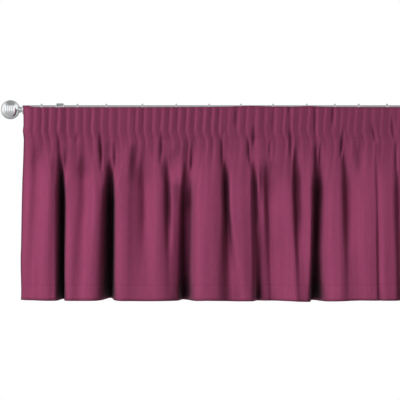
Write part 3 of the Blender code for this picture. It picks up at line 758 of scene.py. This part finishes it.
def copy_piece(pattern, offset):
    """A copy with its own mesh, this far along."""
    pick(pattern)
    bpy.ops.object.duplicate(linked=False)
    copy = bpy.context.object
    copy.location = offset
    settle(copy)
    return copy


# ---------------------------------------------------------------- the cloth and its tape


def row_drops():
    """The drop of each row of points down the cloth, in metres."""
    drops = [
        start + (end - start) * i / count
        for start, end, count in ROW_STRETCHES
        for i in range(count)
    ]
    return [drop / 1000 for drop in drops] + [CLOTH_DROP]


def laid_sheet(lines, flat_across, flat_down, name):
    """A grid with a row of points on each line, and its flat sizes as its own UV map."""
    start_clean()
    rows, columns = len(lines), len(lines[0])
    bpy.ops.mesh.primitive_grid_add(x_subdivisions=columns - 1, y_subdivisions=rows - 1, size=1)
    sheet = bpy.context.object
    mesh = sheet.data
    at = np.zeros(len(mesh.vertices) * 3, np.float32)
    mesh.vertices.foreach_get("co", at)
    at = at.reshape(-1, 3)
    column = np.rint((at[:, 0] + 0.5) * (columns - 1)).astype(int)
    row = np.rint((0.5 - at[:, 1]) * (rows - 1)).astype(int)
    placed = np.array(lines)[row, column].astype(np.float32)
    mesh.vertices.foreach_set("co", placed.ravel())
    flat = mesh.uv_layers.active
    flat.name = "flat"
    corner = np.zeros(len(mesh.loops), np.int32)
    mesh.loops.foreach_get("vertex_index", corner)
    sizes = np.stack([np.array(flat_across)[column[corner]], np.array(flat_down)[row[corner]]], axis=1)
    flat.data.foreach_set("uv", sizes.astype(np.float32).ravel())
    mesh.update()
    sheet.name = name
    return sheet, row


def face_front(sheet):
    """Turns the sheet's faces towards the room where they look at the wall."""
    normal_y = sum(face.normal.y * face.area for face in sheet.data.polygons)
    if normal_y > 0:
        sheet.data.flip_normals()


def thicken(sheet, thickness, thin_rows=None):
    """Gives the sheet its thickness, all of it behind its front."""
    solidify = sheet.modifiers.new("thickness", "SOLIDIFY")
    solidify.thickness = thickness
    solidify.offset = -1
    if thin_rows is not None:
        layers = sheet.vertex_groups.new(name="layers of cloth")
        layers.add([i for i, thin in enumerate(thin_rows) if not thin], 1.0, "REPLACE")
        layers.add([i for i, thin in enumerate(thin_rows) if thin], SINGLE_SHARE, "REPLACE")
        solidify.vertex_group = layers.name
    apply_modifiers(sheet)
    sheet.data.shade_smooth()


def pleat_shares():
    """Shares of the flat width for the columns of points, closest together on each pleat's ridge."""
    pleats = np.arange(-1, PLEAT_COUNT + 1)[:, None]
    shares = (pleats + np.array(COLUMN_PHASES) + PLEAT_START) / PLEAT_COUNT
    inside = shares[(shares > END_MARGIN) & (shares < 1 - END_MARGIN)]
    return np.concatenate([[0], inside, [1]])


def make_cloth(material):
    """The valance: pencil pleats, the folds that they run into, and a double hem."""
    shares = pleat_shares()
    drops = row_drops()
    columns = column_places(shares)
    lines = [cloth_line(shares, columns, drop) for drop in drops]
    cloth, row = laid_sheet(lines, shares * FLAT_WIDTH, drops, "pleated cloth")
    face_front(cloth)
    down = np.array(drops)[row]
    single = (down > TAPE_BOTTOM) & (down < CLOTH_DROP - HEM_HEIGHT)
    thicken(cloth, DOUBLE_CLOTH, single)
    dress(cloth, "gathered_cloth", material, "plum_cloth", "valance_cloth")
    return cloth


def make_tape(material):
    """The woven tape behind the heading, in the pleats that its cords draw it into."""
    shares = pleat_shares()
    shares = shares[(shares > TAPE_INSET) & (shares < 1 - TAPE_INSET)]
    drops = np.linspace(TAPE_TOP, TAPE_BOTTOM, TAPE_ROWS)
    columns = column_places(shares)
    lines = []
    for drop in drops:
        line = behind(cloth_line(shares, columns, drop), DOUBLE_CLOTH + FIT_GAP)
        line[:, 2] = CLOTH_TOP - drop
        lines.append(line)
    tape, row = laid_sheet(lines, shares * FLAT_WIDTH, drops, "pleating tape")
    face_front(tape)
    thicken(tape, TAPE_THICKNESS)
    dress(tape, "pleating_tape", material, "white_tape", "heading_tape")
    return tape


# ---------------------------------------------------------------- the pole and its fittings


def make_pole(material):
    """A thin tube, its ends open into the finials' spigots."""
    start_clean()
    length = BRACKET_SPAN + 2 * POLE_OVERHANG
    bpy.ops.mesh.primitive_cylinder_add(
        vertices=96, radius=POLE_RADIUS, depth=length, end_fill_type="NOTHING",
        location=(BRACKET_SPAN / 2, POLE_DEPTH, POLE_HEIGHT), rotation=(0, math.pi / 2, 0),
    )
    pole = bpy.context.object
    settle(pole)
    wall = pole.modifiers.new("tube wall", "SOLIDIFY")
    wall.thickness = POLE_WALL
    wall.offset = -1
    apply_modifiers(pole)
    smooth_by_angle(pole, 35)
    return dress(pole, "curtain_pole_tube", material, "chrome", "pole")


def ball_stations(steps):
    """The ball from its tip round to where the neck leaves it."""
    leave = math.pi - math.asin(NECK_RADIUS / BALL_RADIUS)
    first = 0.03
    angles = [first + (leave - first) * i / steps for i in range(steps + 1)]
    return [(BALL_RADIUS * (1 - math.cos(a)), BALL_RADIUS * math.sin(a)) for a in angles]


def make_finial(name, node_name, side, material):
    """A ball on a beaded neck with a cap over the pole's end."""
    stations = ball_stations(30)
    neck = stations[-1][0]
    cap = BALL_RADIUS + BALL_PAST_BRACKET - POLE_OVERHANG - FIT_GAP
    spigot = POLE_RADIUS - POLE_WALL - FIT_GAP
    stations += [
        (neck + 0.0003, BEAD_RADIUS * 0.92),
        (neck + 0.0008, BEAD_RADIUS),
        (neck + 0.0017, BEAD_RADIUS),
        (neck + 0.0022, BEAD_RADIUS * 0.92),
        (neck + 0.0026, NECK_RADIUS * 0.90),
        (cap - CAP_THICKNESS - 0.0014, NECK_RADIUS * 0.92),
        (cap - CAP_THICKNESS - 0.0008, NECK_RADIUS * 1.10),
        (cap - CAP_THICKNESS, CAP_RADIUS * 0.90),
        (cap - CAP_THICKNESS + 0.0004, CAP_RADIUS * 0.98),
        (cap - CAP_THICKNESS + 0.0008, CAP_RADIUS),
        (cap - 0.0003, CAP_RADIUS),
        (cap, CAP_RADIUS * 0.97),
        (cap + 0.00005, spigot),
        (cap + SPIGOT_LENGTH - 0.0005, spigot),
        (cap + SPIGOT_LENGTH, spigot * 0.93),
    ]
    past = BALL_PAST_BRACKET + BALL_RADIUS
    tip = -past if side < 0 else BRACKET_SPAN + past
    finial = turned_piece(stations, (tip, POLE_DEPTH, POLE_HEIGHT), -side, 72)
    smooth_by_angle(finial, 40)
    return dress(finial, name, material, "chrome", node_name)


def make_bracket(name, node_name, place, material):
    """The collar that the pole passes through, on its arm from the plate."""
    start_clean()
    middle = (place, POLE_DEPTH, POLE_HEIGHT)
    across = (0, math.pi / 2, 0)
    bpy.ops.mesh.primitive_cylinder_add(
        vertices=72, radius=COLLAR_RADIUS, depth=COLLAR_WIDTH, location=middle, rotation=across
    )
    bracket = bpy.context.object
    settle(bracket)
    bevel_all(bracket, COLLAR_EDGE, 5, 50)
    start_clean()
    front = POLE_DEPTH + COLLAR_RADIUS - ARM_INSET
    back = -PLATE_SIZE[1] - FIT_GAP
    bpy.ops.mesh.primitive_cylinder_add(
        vertices=48, radius=ARM_RADIUS, depth=back - front,
        location=(place, (front + back) / 2, POLE_HEIGHT), rotation=(math.pi / 2, 0, 0),
    )
    arm = bpy.context.object
    settle(arm)
    joined_by_boolean(bracket, arm, "UNION")
    start_clean()
    bpy.ops.mesh.primitive_cylinder_add(
        vertices=96, radius=POLE_RADIUS + FIT_GAP, depth=2 * COLLAR_WIDTH,
        location=middle, rotation=across,
    )
    bore = bpy.context.object
    settle(bore)
    joined_by_boolean(bracket, bore, "DIFFERENCE")
    smooth_by_angle(bracket, 35)
    return dress(bracket, name, material, "chrome", node_name)


def make_plate(name, node_name, place, material):
    """The plate that is screwed to the wall, its corners round and its front edge eased."""
    start_clean()
    thickness = PLATE_SIZE[1]
    bpy.ops.mesh.primitive_cube_add(size=1, location=(place, -thickness / 2, 0))
    plate = bpy.context.object
    plate.scale = PLATE_SIZE
    settle(plate)
    bpy.ops.object.mode_set(mode="EDIT")
    bpy.ops.mesh.select_mode(type="EDGE")
    bpy.ops.mesh.select_all(action="DESELECT")
    bpy.ops.object.mode_set(mode="OBJECT")
    mesh = plate.data
    for edge in mesh.edges:
        one, two = (mesh.vertices[i].co for i in edge.vertices)
        edge.select = abs(one.y - two.y) > thickness / 2
    bpy.ops.object.mode_set(mode="EDIT")
    bpy.ops.mesh.bevel(offset=PLATE_CORNER, segments=8, affect="EDGES")
    bpy.ops.mesh.select_all(action="DESELECT")
    bpy.ops.object.mode_set(mode="OBJECT")
    for edge in mesh.edges:
        edge.select = all(mesh.vertices[i].co.y < -thickness * 0.9 for i in edge.vertices)
    bpy.ops.object.mode_set(mode="EDIT")
    bpy.ops.mesh.bevel(offset=PLATE_EDGE, segments=4, affect="EDGES")
    bpy.ops.object.mode_set(mode="OBJECT")
    smooth_by_angle(plate, 35)
    return dress(plate, name, material, "chrome", node_name)


def make_rings(material):
    """Rings hanging on the pole, each with an eye soldered on under it."""
    start_clean()
    height = POLE_HEIGHT + POLE_RADIUS + FIT_GAP - (RING_RADIUS - RING_WIRE)
    bpy.ops.mesh.primitive_torus_add(
        location=(0, POLE_DEPTH, height), rotation=(0, math.pi / 2, 0), major_radius=RING_RADIUS,
        minor_radius=RING_WIRE, major_segments=72, minor_segments=14,
    )
    ring = bpy.context.object
    settle(ring)
    start_clean()
    eye_height = height - (RING_RADIUS + RING_WIRE + EYE_RADIUS - EYE_WIRE - EYE_OVERLAP)
    bpy.ops.mesh.primitive_torus_add(
        location=(0, POLE_DEPTH, eye_height), rotation=(math.pi / 2, 0, 0), major_radius=EYE_RADIUS,
        minor_radius=EYE_WIRE, major_segments=36, minor_segments=10,
    )
    eye = bpy.context.object
    settle(eye)
    joined_by_boolean(ring, eye, "UNION")
    smooth_by_angle(ring, 60)
    for number, place in enumerate(RING_PLACES, start=1):
        copy = copy_piece(ring, (place, 0, 0))
        dress(copy, f"pole_ring_{number:02d}", material, "chrome", f"ring_{number:02d}")
    bpy.data.objects.remove(ring)
    return eye_height


def make_hooks(eye_height, material):
    """Bent wire hooks, from behind each ring's eye down the back of the tape."""
    rest = eye_height - EYE_RADIUS + EYE_WIRE + HOOK_WIRE + FIT_GAP
    down_tape = TAPE_BACK + HOOK_WIRE + FIT_GAP
    route = (
        (POLE_DEPTH + 0.0062, rest - 0.0058),
        (POLE_DEPTH + 0.0056, rest - 0.0026),
        (POLE_DEPTH + 0.0030, rest - 0.0004),
        (POLE_DEPTH, rest),
        (POLE_DEPTH - 0.0090, rest - 0.0018),
        (down_tape + 0.0030, rest - 0.0046),
        (down_tape + 0.0008, rest - 0.0086),
        (down_tape, rest - 0.0140),
        (down_tape, rest - 0.0280),
    )
    curve = bpy.data.curves.new("hook wire", "CURVE")
    curve.dimensions = "3D"
    curve.bevel_depth = HOOK_WIRE
    curve.bevel_resolution = 3
    curve.use_fill_caps = True
    curve.resolution_u = 4
    spline = curve.splines.new("NURBS")
    spline.points.add(len(route) - 1)
    for point, (depth, height) in zip(spline.points, route):
        point.co = (0, depth, height, 1)
    spline.order_u = 3
    spline.use_endpoint_u = True
    wire = bpy.data.objects.new("hook wire", curve)
    bpy.context.scene.collection.objects.link(wire)
    pick(wire)
    bpy.ops.object.convert(target="MESH")
    wire = bpy.context.object
    bpy.ops.object.mode_set(mode="EDIT")
    bpy.ops.mesh.select_all(action="SELECT")
    bpy.ops.mesh.remove_doubles(threshold=0.00002)
    bpy.ops.mesh.normals_make_consistent(inside=False)
    bpy.ops.object.mode_set(mode="OBJECT")
    smooth_by_angle(wire, 60)
    for number, place in enumerate(RING_PLACES, start=1):
        back = end_return(place - CLOTH_LEFT, HEADING_RETURN)
        copy = copy_piece(wire, (place, back, 0))
        dress(copy, f"tape_hook_{number:02d}", material, "hook_metal", f"hook_{number:02d}")
    bpy.data.objects.remove(wire)


# ---------------------------------------------------------------- floor, light and camera


def make_floor():
    """A plain pale floor, which glows a little to the eye so that it stays pale under a soft light."""
    start_clean()
    bpy.ops.mesh.primitive_plane_add(size=FLOOR_SIZE, location=FLOOR_PLACE)
    floor = bpy.context.object
    floor.name = "studio_floor"
    material, tree, surface = new_finish("pale floor", FLOOR_COLOUR, FLOOR_ROUGHNESS, 0.0)
    surface.inputs["Specular IOR Level"].default_value = FLOOR_SPECULAR
    path = node(tree, "ShaderNodeLightPath")
    glow = value_node(tree, "MULTIPLY", path.outputs["Is Camera Ray"], FLOOR_GLOW)
    tree.links.new(glow, surface.inputs["Emission Strength"])
    surface.inputs["Emission Color"].default_value = (1, 1, 1, 1)
    floor.data.materials.append(material)
    floor.visible_glossy = False


def backdrop_light(tree, colour, strength):
    """A Background of this colour and strength, each given or another node's output."""
    made = node(tree, "ShaderNodeBackground")
    for socket, given in zip(made.inputs, (colour, strength)):
        if isinstance(given, bpy.types.NodeSocket):
            tree.links.new(given, socket)
        else:
            socket.default_value = given
    return made.outputs[0]


def mixed_light(tree, share, first, second):
    """The first light, or the second where the share is 1."""
    made = node(tree, "ShaderNodeMixShader")
    for socket, given in zip(made.inputs, (share, first, second)):
        tree.links.new(given, socket)
    return made.outputs[0]


def mirrored_level(tree, up):
    """How bright the studio is in the plate, from straight down to straight up."""
    band = node(tree, "ShaderNodeValToRGB")
    elements = band.color_ramp.elements
    elements[0].position, elements[1].position = MIRRORED_LEVELS[0][0], MIRRORED_LEVELS[-1][0]
    for position, _ in MIRRORED_LEVELS[1:-1]:
        elements.new(position)
    for element, (_, level) in zip(elements, MIRRORED_LEVELS):
        element.color = (level, level, level, 1)
    tree.links.new(value_node(tree, "MULTIPLY_ADD", up, 0.5, 0.5), band.inputs[0])
    return band.outputs[0]


def make_backdrop():
    """White all round for the eye, a soft low light on the cloth, and a bright band for the chrome."""
    world = bpy.data.worlds.new("studio")
    bpy.context.scene.world = world
    world.use_nodes = True
    tree = world.node_tree
    tree.nodes.clear()
    direction = node(tree, "ShaderNodeTexCoord")
    parts = node(tree, "ShaderNodeSeparateXYZ")
    tree.links.new(direction.outputs["Generated"], parts.inputs[0])
    along, to_wall, up = parts.outputs

    wall_side = eased(tree, to_wall, WALL_SIDE, WALL_SIDE_LEVELS)
    shifted = value_node(tree, "ADD", along, UPRIGHT_SHIFT)
    spaced = value_node(tree, "PINGPONG", shifted, UPRIGHT_SPACING)
    on_upright = value_node(tree, "LESS_THAN", spaced, UPRIGHT_WIDTH)
    room_side = value_node(tree, "LESS_THAN", to_wall, ROOM_SIDE)
    upright = value_node(tree, "MULTIPLY", on_upright, room_side)
    dimmed = value_node(tree, "MULTIPLY_ADD", upright, UPRIGHT_DIMMING, 1.0)
    strength = value_node(tree, "MULTIPLY", wall_side, dimmed)

    path = node(tree, "ShaderNodeLightPath")
    seen = backdrop_light(tree, (1, 1, 1, 1), 1.0)
    fill = backdrop_light(tree, (*FILL_COLOUR, 1), FILL_STRENGTH)
    mirrored = backdrop_light(tree, mirrored_level(tree, up), strength)
    lighting = mixed_light(tree, path.outputs["Is Glossy Ray"], fill, mirrored)
    whole = mixed_light(tree, path.outputs["Is Camera Ray"], lighting, seen)
    output = node(tree, "ShaderNodeOutputWorld")
    tree.links.new(whole, output.inputs[0])


def aimed(obj, target):
    """Turns a lamp so that it looks at the target."""
    towards = Vector(target) - obj.location
    obj.rotation_euler = towards.to_track_quat("-Z", "Y").to_euler()


def make_lights():
    """Soft panels, which neither the eye nor the plate sees."""
    for name, power, size, place, target in SOFT_LIGHTS:
        lamp = bpy.data.lights.new(name, "AREA")
        lamp.energy = power
        lamp.shape = "RECTANGLE"
        lamp.size, lamp.size_y = size
        panel = bpy.data.objects.new(name, lamp)
        bpy.context.scene.collection.objects.link(panel)
        panel.location = place
        aimed(panel, target)
        panel.visible_camera = False
        panel.visible_glossy = False


def make_camera():
    """A camera that looks level and straight at the wall, at the left part of the valance."""
    view = bpy.data.cameras.new("front camera")
    view.lens = CAMERA_LENS
    view.sensor_width = CAMERA_SENSOR
    camera = bpy.data.objects.new(view.name, view)
    bpy.context.scene.collection.objects.link(camera)
    camera.location = CAMERA_PLACE
    camera.rotation_euler = (math.pi / 2, 0, 0)
    bpy.context.scene.camera = camera


def main():
    # The plum cloth has painted shade over its heading and in its folds; the tape only in its folds.
    plum = woven_finish(
        "plum plain weave", tones=(PLUM, DEEP_PLUM), thread=0.0009, weave_bump=0.25,
        stitch_drops=PLUM_STITCH_DROPS, stitch_colour=PLUM_THREAD, painted_heading_shade=PAINTED_HEADING_SHADE,
    )
    tape = woven_finish(
        "white tape weave", tones=(TAPE_WHITE, TAPE_GREY), thread=0.0012, weave_bump=0.35,
        stitch_drops=TAPE_STITCH_DROPS, stitch_colour=TAPE_THREAD,
    )
    chrome = plated_finish("polished chrome", CHROME, roughness=0.07, smear=0.06)
    zinc = plated_finish("zinc-plated wire", ZINC, roughness=0.30, smear=0.12)
    cloth = make_cloth(plum)
    heading = make_tape(tape)
    # The pole's plate is painted lighter than the other chrome.
    make_pole(plated_finish("polished tube", TUBE_CHROME_PAINTED_LIGHTER, roughness=0.10, smear=0.06))
    make_finial("ball_finial_left", "finial_left", -1, chrome)
    make_finial("ball_finial_right", "finial_right", 1, chrome)
    for side, place in (("left", 0), ("right", BRACKET_SPAN)):
        make_bracket(f"pole_bracket_{side}", f"bracket_{side}", place, chrome)
        make_plate(f"bracket_plate_{side}", f"wall_plate_{side}", place, chrome)
    make_hooks(make_rings(chrome), zinc)
    make_floor()
    make_backdrop()
    make_lights()
    make_camera()
    bpy.context.scene.view_settings.view_transform = "Standard"


main()
